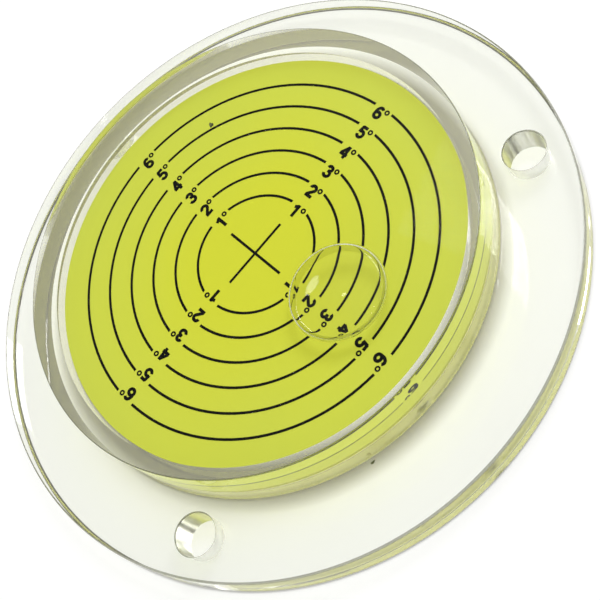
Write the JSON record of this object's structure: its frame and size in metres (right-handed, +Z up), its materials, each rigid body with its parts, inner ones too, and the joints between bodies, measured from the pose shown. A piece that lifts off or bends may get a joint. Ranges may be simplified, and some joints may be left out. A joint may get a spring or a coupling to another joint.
{
  "type": "bullseye level",
  "caption": "Round clear bubble level with a mounting flange, a domed liquid chamber and a ringed dial that reads tilt in every direction.",
  "frame": {"origin": "middle of the flange's underside, the face that rests on or is bolted to the surface being levelled", "axes": "+Z up through the window, along the axis of the flange and drum; -Y runs along one arm of the printed cross, opposite one of the fixing holes"},
  "size_m": [0.12, 0.12, 0.018],
  "materials": {
    "clear_body": "polished clear acrylic, moulded in one piece",
    "clear_plate": "clear acrylic, polished faces, glued in",
    "plug": "pale moulded plastic",
    "dial": "smooth yellow-green plastic sheet, printed",
    "liquid": "clear liquid with a faint yellow-green tint",
    "print": "black screen-printed ink"
  },
  "bodies": {
    "root": {"housing": "clear_body", "base_plate": "clear_plate", "filler_plug": "plug", "dial": "dial", "liquid": "liquid", "centre_cross": "print", "degree_ring_1": "print", "degree_ring_2": "print", "degree_ring_3": "print", "degree_ring_4": "print", "degree_ring_5": "print", "degree_ring_6": "print"}
  },
  "joints": []
}
